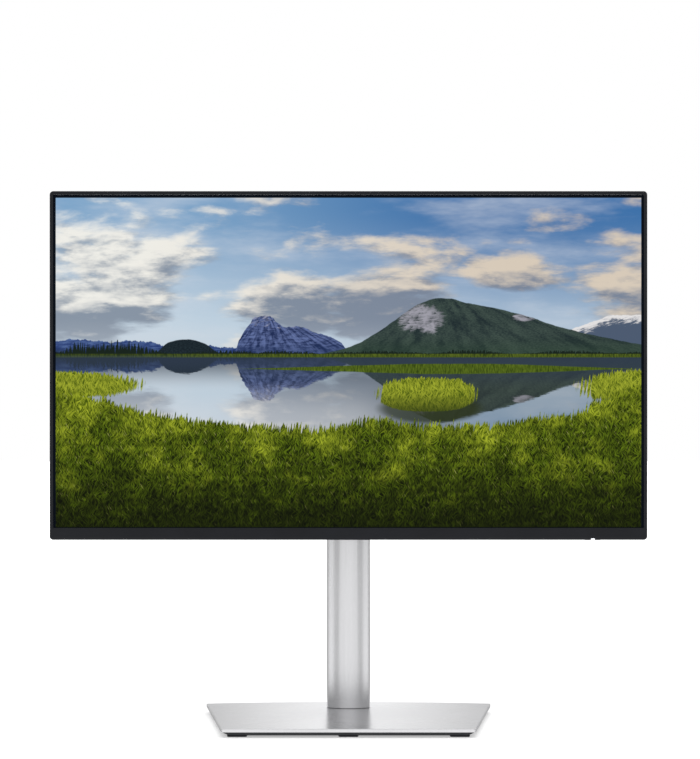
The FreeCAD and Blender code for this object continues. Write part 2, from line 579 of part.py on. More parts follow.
def make_joystick():
    """A thumb stick that rocks two ways in a gimbal and clicks when pressed."""
    cup = block(STICK_X - 6.5, STICK_X + 6.5, STICK_Y - 3.8, STICK_Y + 1.4, STICK_Z - 6.5, STICK_Z + 6.5)
    room = block(STICK_X - 5.2, STICK_X + 5.2, STICK_Y - 3.0, STICK_Y + 2, STICK_Z - 5.2, STICK_Z + 5.2)
    pivots = rod(0.65, (STICK_X - 7, STICK_Y, STICK_Z), (STICK_X + 7, STICK_Y, STICK_Z))
    board = block(STICK_X - 9, STICK_X + 9, STICK_Y - 4.8, STICK_Y - 3.8, STICK_Z - 12, STICK_Z + 12)
    keep("joystick_housing", joined(without(cup, room, pivots), board))

    ring = without(stick_rod(4.7, STICK_Y - 1, STICK_Y + 1), stick_rod(3.4, STICK_Y - 2, STICK_Y + 2))
    arm = rod(0.6, (STICK_X + 4.2, STICK_Y, STICK_Z), (STICK_X + 6.3, STICK_Y, STICK_Z))
    other = rod(0.6, (STICK_X - 6.3, STICK_Y, STICK_Z), (STICK_X - 4.2, STICK_Y, STICK_Z))
    cross = rod(0.55, (STICK_X, STICK_Y, STICK_Z - 6), (STICK_X, STICK_Y, STICK_Z + 6))
    keep("joystick_gimbal", without(joined(ring, arm, other), cross))

    hub = stick_rod(2.5, STICK_Y - 1.2, STICK_Y + 1.2)
    pins = rod(0.5, (STICK_X, STICK_Y, STICK_Z - 4.4), (STICK_X, STICK_Y, STICK_Z + 4.4))
    keep("joystick_stem", without(joined(hub, pins), stick_rod(1.25, STICK_Y - 3, STICK_Y + 3)))

    shaft = stick_rod(1.2, STICK_Y - 2.2, STICK_Y + 4)
    dome = stick_rod(5.4, STICK_Y + 3.6, STICK_Y + 9)
    dome = softened(dome, 1.4, lambda e: lies_at(e, "y", STICK_Y + 9))
    dish = Part.makeSphere(14.0, V(STICK_X, STICK_Y + 22.3, STICK_Z))
    keep("joystick_cap", joined(shaft, without(dome, dish)))


def make_panel():
    """The picture panel: glass, optical sheets, light guide and the tray that holds them."""
    width = ACTIVE_W + 4.6
    low = ACTIVE_BOTTOM - 4.2
    high = ACTIVE_TOP + 2.4
    y = FRONT_Y + LIP + 0.1
    layers = [
        ("lcd_panel", 1.4, 0.0),
        ("prism_sheet", 0.3, 1.0),
        ("diffuser_sheet", 0.3, 1.0),
        ("light_guide", 3.0, 1.6),
        ("reflector_sheet", 0.3, 1.0),
    ]
    for name, thick, inset in layers:
        sheet = block(-width / 2 + inset, width / 2 - inset, y, y + thick, low + inset, high - inset)
        keep(name, sheet)
        y += thick + 0.1

    tray_half = width / 2 + 1.2
    tray = block(-tray_half, tray_half, FRONT_Y + LIP + 0.2, y + 0.8, low - 1.2, high + 1.2)
    room = block(-tray_half + 0.8, tray_half - 0.8, FRONT_Y, y, low - 0.4, high + 0.4)
    ribs = [block(-220, 220, y + 0.8, y + 1.7, HEAD_Z + z, HEAD_Z + z + 8) for z in (-110, -25, 60, 130)]
    keep("panel_tray", joined(without(tray, room), *ribs))

    guide_low = low + 1.6
    strip = block(-255, 255, FRONT_Y + 3.6, FRONT_Y + 6.6, low - 0.2, guide_low - 0.8)
    keep("led_strip", strip)


# ---------------------------------------------------------------- display head: electronics
CHASSIS_Y0 = -70.0
CHASSIS_Y1 = -68.8
BOARD_Y = -60.4
BOARD_T = 1.6
PORT_Z = HEAD_Z - 104.0   # downward-facing wall that holds the connectors
BAY_X = 112.0             # half the width of the connector bay
MAIN_BOARD = (-104.0, 62.0, HEAD_Z - 99.0, HEAD_Z - 3.0)      # left, right, bottom, top
POWER_BOARD = (74.0, 178.0, HEAD_Z - 99.0, HEAD_Z + 5.0)


def bolt_places():
    """The four mounting holes, as places across and up."""
    half = BOLT_SPACING / 2
    return [(x, HEAD_Z + z) for x in (-half, half) for z in (-half, half)]


def board_corners(board):
    """A place for a post near each corner of a board."""
    x0, x1, z0, z1 = board
    inset = 5.0
    return [(x, z) for x in (x0 + inset, x1 - inset) for z in (z0 + inset, z1 - inset)]


def make_chassis():
    """The steel sheet behind the panel that carries the boards and the mounting bolts."""
    sheet = block(-190, 190, CHASSIS_Y0, CHASSIS_Y1, HEAD_Z - 119, HEAD_Z + 77)
    sheet = softened(sheet, 10, lambda e: abs(e.tangentAt(0).y) > 0.999)
    openings = [rounded_plate(60, 34, 6, CHASSIS_Y0 - 1, CHASSIS_Y1 + 1, x, HEAD_Z + 55)
                for x in (-130, 130)]
    posts = []
    for board in (MAIN_BOARD, POWER_BOARD):
        for x, z in board_corners(board):
            posts.append(rod(3.0, (x, CHASSIS_Y1, z), (x, BOARD_Y, z)))
    keep("chassis_plate", joined(without(sheet, *openings), *posts))

    standoffs = []
    for x, z in bolt_places():
        post = tube(4.2, BOLT_R, (x, RECESS_Y - 14, z), (x, RECESS_Y, z))
        root = rod(4.2, (x, CHASSIS_Y1, z), (x, RECESS_Y - 14, z))
        standoffs.append(joined(post, root))
    keep("mount_standoffs", Part.makeCompound(standoffs))


def bare_board(board):
    """A circuit board with clearance round the mounting standoffs."""
    x0, x1, z0, z1 = board
    sheet = block(x0, x1, BOARD_Y, BOARD_Y + BOARD_T, z0, z1)
    return without(sheet, *[rod(5.2, (x, -70, z), (x, -50, z)) for x, z in bolt_places()])


def make_boards():
    top = BOARD_Y + BOARD_T
    chips = [(-28, -33, 13, 1.6), (-75, -25, 9, 1.2), (20, -25, 8, 1.2), (-70, -63, 7, 1.2)]
    parts = [block(x - half, x + half, top, top + tall, HEAD_Z + z - half, HEAD_Z + z + half)
             for x, z, half, tall in chips]
    sockets = block(-20, 16, top, top + 2.4, HEAD_Z - 75, HEAD_Z - 69)
    keep("main_board", joined(bare_board(MAIN_BOARD), sockets, *parts))

    transformer = block(100, 132, top, top + 13, HEAD_Z - 40, HEAD_Z - 10)
    heat_sink = block(84, 90, top, top + 12, HEAD_Z - 75, HEAD_Z - 15)
    big_caps = [rod(6.5, (x, top, HEAD_Z + z), (x, top + 12, HEAD_Z + z))
                for x, z in ((150, -25), (150, -57), (166, -41))]
    choke = tube(8.0, 3.5, (112, top, HEAD_Z - 63), (112, top + 8, HEAD_Z - 63))
    keep("power_board", joined(bare_board(POWER_BOARD), transformer, heat_sink, choke, *big_caps))

    make_shield(top)
    make_driver()


def make_shield(top):
    """A folded steel lid over the main board, with cooling slots."""
    sheet = 0.6
    low = HEAD_Z - 83
    high = HEAD_Z - 7
    outer = block(-100, 58, top + 0.1, top + 3.8, low, high)
    inner = block(-100 + sheet, 58 - sheet, top, top + 3.3, low + sheet, high - sheet)
    vents = [block(x, x + 3, top + 2, top + 6, HEAD_Z + z, HEAD_Z + z + 12)
             for x in range(-84, 46, 8) for z in (-69, -33)]
    posts = [rod(5.2, (x, -70, z), (x, -50, z)) for x, z in bolt_places()]
    keep("board_shield", without(outer, inner, *vents, *posts))


def make_driver():
    """The strip of electronics under the panel, and the flat cable up to the main board."""
    face_y = -69.4
    run_y = -66.3
    low = HEAD_BOTTOM + 15
    cable_low = low + 7
    cable_top = HEAD_Z - 85
    film = 0.3
    driver = block(-120, 120, face_y - 1.2, face_y, low, low + 16)
    driver_chips = [block(x - 7, x + 7, face_y, face_y + 1.2, low + 3, low + 13) for x in (-80, -40, 40, 80)]
    keep("driver_board", joined(driver, *driver_chips))
    run = block(-10, 10, run_y - film, run_y, cable_low, cable_top)
    foot = block(-10, 10, face_y, run_y, cable_low, cable_low + film)
    tail = block(-10, 10, run_y - film, BOARD_Y, cable_top - film, cable_top)
    keep("panel_cable", joined(run, foot, tail))


def connector(x, width, depth, wall, tongue):
    """A socket that opens downwards, with its contact tongue. Returns it with its outer size."""
    y0 = BOARD_Y + BOARD_T
    shell = block(x - width / 2, x + width / 2, y0, y0 + depth, PORT_Z, PORT_Z + 15)
    mouth = block(x - width / 2 + wall, x + width / 2 - wall, y0 + wall, y0 + depth - wall,
                  PORT_Z - 1, PORT_Z + 11)
    middle = y0 + depth / 2
    blade = block(x - tongue / 2, x + tongue / 2, middle - 0.6, middle + 0.6, PORT_Z + 2, PORT_Z + 12)
    return joined(without(shell, mouth), blade)


# Each socket's place across the head, width, depth, wall and contact tongue width
PORTS = {
    "power_inlet": [(-88, 26.0, 15.0, 2.0, 12.0)],
    "signal_ports": [
        (-52, 30.0, 12.0, 0.8, 22.0),
        (-20, 15.4, 6.0, 0.6, 11.0),
        (2, 16.4, 6.2, 0.6, 12.0),
        (24, 12.2, 11.0, 0.7, 6.0),
        (46, 14.0, 7.0, 0.6, 10.0),
        (66, 14.0, 7.0, 0.6, 10.0),
    ],
}


def make_ports():
    for name, sockets in PORTS.items():
        made = [connector(*socket) for socket in sockets]
        keep(name, made[0] if len(made) == 1 else Part.makeCompound(made))


# ---------------------------------------------------------------- display head: rear cover
SCREW_PLACES = [(x, HEAD_Z + z) for z in (-135, 135) for x in (-240, 240)]
LOCK_X = -160.0           # slot for a cable lock
LOCK_Z = HEAD_Z - 89.0


def bulge(shrink, y0, y1):
    """The tapered hump that holds the electronics."""
    low = rounded_wire(440 - shrink, 212 - shrink, 22, y0, 0, HEAD_Z - 26)
    high = rounded_wire(370 - shrink, 178 - shrink, 14, y1, 0, HEAD_Z - 23)
    return lofted(low, high)


def cover_body(shrink, gap):
    """The cover's whole outline, smaller by shrink and pulled forward by gap."""
    edge_w = HEAD_W - 0.8 - shrink
    edge_h = HEAD_H - 0.8 - shrink
    rim_y = SPLIT_Y + 5.0 - gap * 0.4
    rim = rounded_plate(edge_w, edge_h, HEAD_CORNER, SPLIT_Y - (1 if shrink else 0), rim_y)
    slope = lofted(rounded_wire(edge_w, edge_h, HEAD_CORNER, rim_y),
                   rounded_wire(edge_w - 24, edge_h - 24, 8, BACK_Y - gap))
    hump = bulge(shrink, BACK_Y - gap - 1, BULGE_Y - gap)
    return joined(rim, slope, hump)


def recess_block(grow):
    """The square pocket that the stand's plate sits in."""
    size = RECESS + 2 * grow
    return rounded_plate(size, size, 6 + grow, RECESS_Y - grow, BULGE_Y + 5)


def bay_block(grow):
    """The notch under the bulge that the cables come up into."""
    return block(-BAY_X - grow, BAY_X + grow, BACK_Y - grow, -42.5 + grow, HEAD_Z - 145, PORT_Z + grow)


def port_openings():
    """The cuts that let each socket out through the cover."""
    y0 = BOARD_Y + BOARD_T
    gap = 0.2
    cuts = []
    for sockets in PORTS.values():
        for x, width, depth, _, _ in sockets:
            cuts.append(block(x - width / 2 - gap, x + width / 2 + gap, y0 - gap, y0 + depth + gap,
                              PORT_Z - 1, PORT_Z + COVER_WALL + 1))
    return cuts


def vent_slots():
    """Rows of cooling slots in the sloping top and bottom of the bulge."""
    cuts = []
    for i in range(14):
        x = 76 + 7 * i
        cuts.append(block(x, x + 3, -57, -43, HEAD_Z + 55, HEAD_Z + 85))
    for i in range(8):
        x = 122 + 7 * i
        cuts.append(block(x, x + 3, -57, -43, HEAD_Z - 135, HEAD_Z - 100))
    return cuts + [mirrored(cut) for cut in cuts]


def hook_openings():
    """Slots in the recess floor for the stand's two hooks and its catch."""
    hook = block(15.5, 24.5, RECESS_Y - 4, RECESS_Y + 1, HEAD_Z + 30.0, HEAD_Z + 38.4)
    catch = block(-10.5, 10.5, RECESS_Y - 4, RECESS_Y + 1, HEAD_Z - 39.0, HEAD_Z - 26.0)
    return [hook, mirrored(hook), catch]


def make_rear_cover():
    outer = without(cover_body(0.0, 0.0), recess_block(0.0), bay_block(0.0))
    inner = without(cover_body(2 * COVER_WALL, COVER_WALL), recess_block(COVER_WALL), bay_block(COVER_WALL))
    shell = without(outer, inner)
    bosses = [rod(5.0, (x, SPLIT_Y, z), (x, BACK_Y - 1, z)) for x, z in SCREW_PLACES]
    shell = joined(shell, *bosses)
    cuts = port_openings() + vent_slots() + hook_openings()
    for x, z in SCREW_PLACES:
        cuts.append(rod(1.5, (x, SPLIT_Y - 1, z), (x, BACK_Y, z)))
        cuts.append(rod(3.2, (x, BACK_Y - 1.7, z), (x, BACK_Y + 1, z)))
    for x, z in bolt_places():
        cuts.append(rod(4.3, (x, RECESS_Y - 5, z), (x, RECESS_Y + 1, z)))
    cuts.append(stick_rod(STICK_HOLE_R, STICK_Y, BACK_Y + 1))
    lock = block(LOCK_X - 3.5, LOCK_X + 3.5, BULGE_Y - 4, BULGE_Y + 1, LOCK_Z - 1.5, LOCK_Z + 1.5)
    keep("rear_cover", without(shell, lock, *cuts))

    screws = []
    for x, z in SCREW_PLACES:
        head = rod(3.0, (x, BACK_Y - 1.7, z), (x, BACK_Y - 0.1, z))
        cross = joined(block(x - 1.8, x + 1.8, BACK_Y - 0.9, BACK_Y, z - 0.35, z + 0.35),
                       block(x - 0.35, x + 0.35, BACK_Y - 0.9, BACK_Y, z - 1.8, z + 1.8))
        shank = rod(1.48, (x, SPLIT_Y + 0.2, z), (x, BACK_Y - 1.7, z))
        screws.append(without(joined(head, shank), cross))
    keep("cover_screws", Part.makeCompound(screws))


# ---------------------------------------------------------------- build and write
def build_all():
    make_base()
    make_feet()
    make_swivel()
    make_riser_shells()
    make_riser_frame()
    make_cable_clip()
    make_carriage()
    make_tilt_hinge()
    make_pivot()
    make_release()
    make_bezel()
    make_power_button()
    make_joystick()
    make_panel()
    make_chassis()
    make_boards()
    make_ports()
    make_rear_cover()


def write_all():
    os.makedirs("parts", exist_ok=True)
    for name, shape in nodes.items():
        shape.exportStep("parts/" + name + ".step")


build_all()
write_all()
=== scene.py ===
import json
import math
from types import SimpleNamespace

import bpy
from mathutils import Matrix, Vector


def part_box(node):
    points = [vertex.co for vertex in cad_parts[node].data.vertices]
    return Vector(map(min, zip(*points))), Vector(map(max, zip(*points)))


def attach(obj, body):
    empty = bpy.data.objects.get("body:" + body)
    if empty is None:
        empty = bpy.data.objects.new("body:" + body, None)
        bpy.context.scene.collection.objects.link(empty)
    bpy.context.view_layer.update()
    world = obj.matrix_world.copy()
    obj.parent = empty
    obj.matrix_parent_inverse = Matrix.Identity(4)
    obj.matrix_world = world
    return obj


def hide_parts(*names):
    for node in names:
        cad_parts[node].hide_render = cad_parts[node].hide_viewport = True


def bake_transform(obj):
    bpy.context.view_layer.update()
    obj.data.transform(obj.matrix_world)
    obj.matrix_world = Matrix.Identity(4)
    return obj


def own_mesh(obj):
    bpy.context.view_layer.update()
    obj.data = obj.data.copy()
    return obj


# Looks for a height-adjustable desktop monitor: finishes, the picture on the panel, small
# fittings that the CAD solids leave out, and a white studio. Metres, +Z up, screen facing -Y.

# ---------------------------------------------------------------- driving values
MM = 0.001
CAMERA_DISTANCE = 2.172       # from the front of the head to the lens
CAMERA_HEIGHT = 0.312
CAMERA_LENS = 114.5           # on a 36 mm sensor, long side
CAMERA_SHIFT = (0.002, 0.0007)
FLOOR_SIZE = 14.0
FLOOR_GLOW = (0.42, 0.92)     # glow of the paper near the stand and far from it
WALL_WHITE = 1.0              # brightness of the backdrop the camera sees
OVERHEAD_WATTS = 27
SIDE_WATTS = 6
REAR_WATTS = 10

# The active picture on the panel, in the frame's X and Z
PICTURE_W = 0.5270
PICTURE_TOP = 0.4760
PICTURE_H = 0.2965
PICTURE_GLOW = 1.0

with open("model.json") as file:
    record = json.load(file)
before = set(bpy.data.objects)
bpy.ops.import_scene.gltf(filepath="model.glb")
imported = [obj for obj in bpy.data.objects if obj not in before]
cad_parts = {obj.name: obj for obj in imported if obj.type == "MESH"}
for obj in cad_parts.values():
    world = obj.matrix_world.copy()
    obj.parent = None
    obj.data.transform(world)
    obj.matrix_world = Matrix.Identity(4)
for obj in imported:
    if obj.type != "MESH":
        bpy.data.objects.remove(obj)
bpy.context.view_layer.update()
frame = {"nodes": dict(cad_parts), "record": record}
nodes = frame["nodes"]
record = frame["record"]


def paint(red, green, blue):
    """A display colour, 0 to 255 a channel, as the linear colour that shaders take."""
    channels = []
    for value in (red, green, blue):
        share = value / 255
        channels.append(share / 12.92 if share <= 0.04045 else ((share + 0.055) / 1.055) ** 2.4)
    return (*channels, 1.0)


# ---------------------------------------------------------------- node arithmetic
class Signal:
    """A value flowing through a shader tree. Arithmetic on it adds Math nodes."""

    def __init__(self, tree, socket):
        self.tree = tree
        self.socket = socket

    def math(self, operation, *others):
        node = self.tree.nodes.new("ShaderNodeMath")
        node.operation = operation
        plug(self.tree, self, node.inputs[0])
        for i, other in enumerate(others):
            plug(self.tree, other, node.inputs[i + 1])
        return Signal(self.tree, node.outputs[0])

    def __add__(self, other):
        return self.math("ADD", other)

    def __sub__(self, other):
        return self.math("SUBTRACT", other)

    def __rsub__(self, other):
        return self.math("MULTIPLY", -1.0).math("ADD", other)

    def __mul__(self, other):
        return self.math("MULTIPLY", other)

    def __truediv__(self, other):
        return self.math("DIVIDE", other)

    def __abs__(self):
        return self.math("ABSOLUTE")

    def power(self, exponent):
        return self.math("POWER", exponent)

    def high(self, other):
        return self.math("MAXIMUM", other)

    def ramp(self, start, end, smooth=True):
        """0 below start, 1 above end. start may be above end, which turns the ramp round."""
        node = self.tree.nodes.new("ShaderNodeMapRange")
        node.interpolation_type = "SMOOTHSTEP" if smooth else "LINEAR"
        plug(self.tree, self, node.inputs["Value"])
        plug(self.tree, start, node.inputs["From Min"])
        plug(self.tree, end, node.inputs["From Max"])
        return Signal(self.tree, node.outputs["Result"])

    def curve(self, points):
        """A smooth curve through (place, value) points, both from 0 to 1."""
        node = self.tree.nodes.new("ShaderNodeFloatCurve")
        line = node.mapping.curves[0]
        line.points[0].location = points[0]
        line.points[1].location = points[-1]
        for place, value in points[1:-1]:
            line.points.new(place, value)
        for point in line.points:
            point.handle_type = "AUTO_CLAMPED"
        node.mapping.update()
        plug(self.tree, self, node.inputs["Value"])
        return Signal(self.tree, node.outputs["Value"])


def plug(tree, source, target):
    """Links a Signal to an input, or sets the input to a plain value."""
    if isinstance(source, Signal):
        tree.links.new(source.socket, target)
    else:
        target.default_value = source


def combine(tree, x, y, z=0.0):
    """A vector from three values."""
    node = tree.nodes.new("ShaderNodeCombineXYZ")
    for value, target in zip((x, y, z), node.inputs):
        plug(tree, value, target)
    return Signal(tree, node.outputs[0])


def separate(tree, vector):
    """The three values of a vector."""
    node = tree.nodes.new("ShaderNodeSeparateXYZ")
    plug(tree, vector, node.inputs[0])
    return [Signal(tree, output) for output in node.outputs]


def surface_place(tree):
    """Where a point sits on the object at rest, in metres."""
    return Signal(tree, tree.nodes.new("ShaderNodeTexCoord").outputs["Object"])


def scaled(tree, vector, factors):
    """A vector stretched or squeezed along each axis."""
    node = tree.nodes.new("ShaderNodeVectorMath")
    node.operation = "MULTIPLY"
    plug(tree, vector, node.inputs[0])
    node.inputs[1].default_value = factors
    return Signal(tree, node.outputs[0])


def noise(tree, vector, scale, detail=2.0, roughness=0.5, distortion=0.0):
    """Soft random variation, from about 0 to 1."""
    node = tree.nodes.new("ShaderNodeTexNoise")
    plug(tree, vector, node.inputs["Vector"])
    node.inputs["Scale"].default_value = scale
    node.inputs["Detail"].default_value = detail
    node.inputs["Roughness"].default_value = roughness
    node.inputs["Distortion"].default_value = distortion
    return Signal(tree, node.outputs[0])


def cells(tree, vector, scale, feature="F1"):
    """Distance to scattered points, for pits and flakes."""
    node = tree.nodes.new("ShaderNodeTexVoronoi")
    node.feature = feature
    plug(tree, vector, node.inputs["Vector"])
    node.inputs["Scale"].default_value = scale
    return Signal(tree, node.outputs["Distance"])


def mixed(tree, share, under, over, mode="MIX"):
    """Colour over laid on colour under, by share."""
    node = tree.nodes.new("ShaderNodeMix")
    node.data_type = "RGBA"
    node.blend_type = mode
    node.clamp_factor = True
    plug(tree, share, node.inputs[0])
    plug(tree, under, node.inputs[6])
    plug(tree, over, node.inputs[7])
    return Signal(tree, node.outputs[2])


def bumped(tree, height, depth):
    """A surface normal tipped by a height signal; depth is how far 0 to 1 stands, in metres."""
    node = tree.nodes.new("ShaderNodeBump")
    node.inputs["Strength"].default_value = 1.0
    node.inputs["Distance"].default_value = depth
    plug(tree, height, node.inputs["Height"])
    return Signal(tree, node.outputs[0])


def new_material(name):
    """An empty material with a Principled shader. Returns the material, its tree and the shader."""
    material = bpy.data.materials.new(name)
    material.use_nodes = True
    tree = material.node_tree
    return material, tree, tree.nodes["Principled BSDF"]


# ---------------------------------------------------------------- finishes
def finish(name, dark, light, rough=(0.4, 0.5), metallic=0.0, grain=0.4 * MM, relief=0.01 * MM,
           patch=30 * MM, stretch=(1, 1, 1), coat=0.0, flakes=0.0):
    """A moulded, painted, cast or brushed surface: fine grain, slow colour drift, uneven gloss."""
    material, tree, shader = new_material(name)
    place = surface_place(tree)
    drift = noise(tree, place, 1 / patch, 3.0, 0.6)
    fine = noise(tree, scaled(tree, place, stretch), 1 / grain, 3.0, 0.65)
    tone = drift * 0.6 + fine * 0.4
    colour = mixed(tree, tone.ramp(0.3, 0.7), dark, light)
    if flakes:
        glint = cells(tree, place, 1 / (0.35 * MM)).ramp(0.28, 0.08) * flakes
        colour = mixed(tree, glint, colour, paint(250, 250, 252))
    plug(tree, colour, shader.inputs["Base Color"])
    gloss = (drift * 0.7 + fine * 0.3).ramp(0.3, 0.7, smooth=False)
    plug(tree, gloss * (rough[1] - rough[0]) + rough[0], shader.inputs["Roughness"])
    plug(tree, bumped(tree, fine, relief), shader.inputs["Normal"])
    shader.inputs["Metallic"].default_value = metallic
    shader.inputs["Coat Weight"].default_value = coat
    shader.inputs["Coat Roughness"].default_value = 0.12
    return material


def moulded_black(name, level, rough, specular=0.35, grain=0.55 * MM, relief=0.03 * MM):
    """Spark-eroded black plastic: a fine pebbled grain over a nearly neutral black."""
    material, tree, shader = new_material(name)
    place = surface_place(tree)
    pebble = cells(tree, place, 1 / grain, "SMOOTH_F1")
    drift = noise(tree, place, 18.0, 4.0, 0.6)
    fine = noise(tree, place, 5200.0, 2.0)
    dark = paint(level - 6, level - 4, level)
    light = paint(level + 4, level + 6, level + 11)
    colour = mixed(tree, (drift * 0.7 + pebble * 0.3).ramp(0.25, 0.7), dark, light)
    plug(tree, colour, shader.inputs["Base Color"])
    gloss = drift.ramp(0.3, 0.7) * 0.5 + fine * 0.5
    plug(tree, gloss * (rough[1] - rough[0]) + rough[0], shader.inputs["Roughness"])
    plug(tree, bumped(tree, pebble + fine * 0.4, relief), shader.inputs["Normal"])
    shader.inputs["Specular IOR Level"].default_value = specular
    return material


def satin_aluminium(name):
    """Bead-blasted, clear-anodised aluminium: a tight sparkle and very faint drawing lines."""
    material, tree, shader = new_material(name)
    place = surface_place(tree)
    blast = noise(tree, place, 3800.0, 2.0, 0.7)
    lines = noise(tree, scaled(tree, place, (1400, 1400, 9)), 1.0, 2.0)
    drift = noise(tree, place, 9.0, 2.0, 0.5)
    tone = blast * 0.5 + lines * 0.15 + drift * 0.35
    colour = mixed(tree, tone.ramp(0.3, 0.7), paint(214, 214, 216), paint(232, 232, 234))
    plug(tree, colour, shader.inputs["Base Color"])
    plug(tree, (drift * 0.6 + blast * 0.4).ramp(0.3, 0.7) * 0.07 + 0.24, shader.inputs["Roughness"])
    plug(tree, bumped(tree, blast + lines * 0.3, 0.002 * MM), shader.inputs["Normal"])
    shader.inputs["Metallic"].default_value = 1.0
    return material


def circuit_material(name):
    """Green solder mask with copper tracks showing through and rows of small parts."""
    material, tree, shader = new_material(name)
    place = surface_place(tree)
    brick = tree.nodes.new("ShaderNodeTexBrick")
    plug(tree, scaled(tree, place, (260, 1, 260)), brick.inputs["Vector"])
    brick.inputs["Mortar Size"].default_value = 0.03
    tracks = Signal(tree, brick.outputs["Fac"])
    drift = noise(tree, place, 60.0, 3.0)
    mask = mixed(tree, drift.ramp(0.3, 0.7), paint(12, 74, 40), paint(20, 96, 52))
    colour = mixed(tree, tracks * 0.7, mask, paint(46, 128, 66))
    plug(tree, colour, shader.inputs["Base Color"])
    plug(tree, drift * 0.15 + 0.3, shader.inputs["Roughness"])
    plug(tree, bumped(tree, tracks, 0.05 * MM), shader.inputs["Normal"])
    return material


def lens_material(name):
    """A white-lit light pipe behind a clear skin."""
    material, tree, shader = new_material(name)
    place = surface_place(tree)
    cloud = noise(tree, place, 900.0, 2.0)
    body = mixed(tree, cloud, paint(236, 240, 246), paint(252, 253, 255))
    light = mixed(tree, cloud, paint(240, 244, 250), paint(255, 255, 255))
    plug(tree, body, shader.inputs["Base Color"])
    plug(tree, light, shader.inputs["Emission Color"])
    shader.inputs["Emission Strength"].default_value = 1.0
    plug(tree, cloud * 0.1 + 0.18, shader.inputs["Roughness"])
    plug(tree, bumped(tree, cloud, 0.01 * MM), shader.inputs["Normal"])
    return material


# ---------------------------------------------------------------- the picture on the panel
HORIZON = 0.478               # share of the picture above the far shore
RIDGE_SPAN = 0.4              # the tallest ridge a curve can hold, as a share of the picture
EDGE_SOFTNESS = 0.003         # how soft the edge of a ridge or bank is

# Where clouds gather: middle across and up from the horizon, half width, half height, how much
CLOUDS = (
    (0.04, 0.24, 0.25, 0.3, 0.24),
    (0.48, 0.16, 0.25, 0.12, 0.34),
    (0.785, 0.25, 0.1, 0.08, 0.32),
    (0.98, 0.2, 0.15, 0.2, 0.24),
    (0.85, 0.42, 0.08, 0.06, 0.22),
    (0.63, 0.31, 0.22, 0.08, 0.14),
    (0.37, 0.44, 0.13, 0.08, 0.1),
)


def landscape(tree, across, down):
    """A made-up mountain lake, painted from noise. across and down run from 0 to 1."""
    above = HORIZON - down
    water = above.ramp(0.0, -0.002)
    ripple = noise(tree, combine(tree, across * 60, down * 900), 1.0, 2.0) - 0.5
    swell = noise(tree, combine(tree, across * 9, down * 80), 1.0, 2.0) - 0.5
    sway = (ripple * 0.006 + swell * 0.01) * water
    u = across + sway
    squeeze = water * -0.14 + 1.0
    rise = abs(above) * squeeze + (ripple * 0.016 + swell * 0.006) * water

    colour = sky(tree, u, rise)
    colour = mountains(tree, u, rise, colour)
    colour = lake(tree, across, down, water, colour)
    return meadow(tree, across, down, colour)


def oval(u, v, at_u, at_v, half_u, half_v, power=2.0):
    """1 in the middle of an oval, 0 on its edge, below 0 outside. A power above 2 squares it up."""
    across = (abs(u - at_u) / half_u).power(power)
    along = (abs(v - at_v) / half_v).power(power)
    return 1.0 - across - along


def blob(u, v, *shape):
    """A soft oval patch: 1 in the middle, falling to 0 at its edge."""
    return oval(u, v, *shape).high(0.0)


def cloud_density(tree, u, rise):
    """How much cloud there is at a place: billows and wisps, thicker where CLOUDS says."""
    drift = noise(tree, combine(tree, u * 2.4, rise * 4.5, 0.3), 1.0, 3.0) - 0.5
    place = combine(tree, u * 6.0 + drift * 0.9, rise * 9.5 + drift * 0.8, 0.7)
    billow = noise(tree, place, 1.0, 9.0, 0.55)
    wisp = noise(tree, combine(tree, u * 2.6, rise * 11.0, 4.0), 1.0, 6.0, 0.6)
    density = billow * 0.85 + wisp * 0.25
    for *shape, amount in CLOUDS:
        density = density + blob(u, rise, *shape) * amount
    return density


def sky(tree, u, rise):
    """Blue, deeper overhead and to the right, with a bank of evening clouds."""
    pale = mixed(tree, u.ramp(0.2, 0.9), paint(198, 214, 226), paint(168, 190, 210))
    blue = mixed(tree, u.ramp(0.1, 0.75), paint(124, 164, 200), paint(60, 112, 168))
    colour = mixed(tree, rise.ramp(0.0, 0.46), pale, blue)
    veil = noise(tree, combine(tree, u * 3.2, rise * 7.0, 9.0), 1.0, 5.0, 0.6)
    colour = mixed(tree, veil.ramp(0.42, 0.78) * 0.5, colour, paint(214, 220, 228))

    here = cloud_density(tree, u, rise)
    lit_side = cloud_density(tree, u - 0.010, rise + 0.026)
    cover = here.ramp(0.60, 0.76)
    mottle = noise(tree, combine(tree, u * 12, rise * 21, 6.0), 1.0, 7.0, 0.6).ramp(0.4, 0.64)
    relief = (here - lit_side) * 3.4 + 0.5
    belly = mixed(tree, u.ramp(0.0, 0.7), paint(128, 140, 156), paint(118, 128, 146))
    crown = mixed(tree, u.ramp(0.05, 0.8), paint(246, 243, 234), paint(222, 206, 184))
    under = blob(u, rise, 0.53, 0.13, 0.24, 0.12) * 0.5 + blob(u, rise, 0.1, 0.07, 0.2, 0.09) * 0.5
    shade = relief - here.ramp(0.74, 1.05) * 0.3 + rise.ramp(0.05, 0.4) * 0.25 - under - mottle * 0.42
    cloud = mixed(tree, shade.ramp(-0.1, 0.85), belly, crown)
    colour = mixed(tree, cover * 0.9, colour, cloud)

    haze = rise.ramp(0.12, 0.0) * 0.35
    return mixed(tree, haze, colour, paint(196, 204, 214))


def fan(tree, u, rise, at_u, top, spread, step):
    """Ribs and gullies that run down and outwards from a summit."""
    bearing = (u - at_u) / ((rise * -1.0 + top).high(0.02))
    return noise(tree, combine(tree, bearing * spread, rise * step, 2.0), 1.0, 6.0, 0.62)


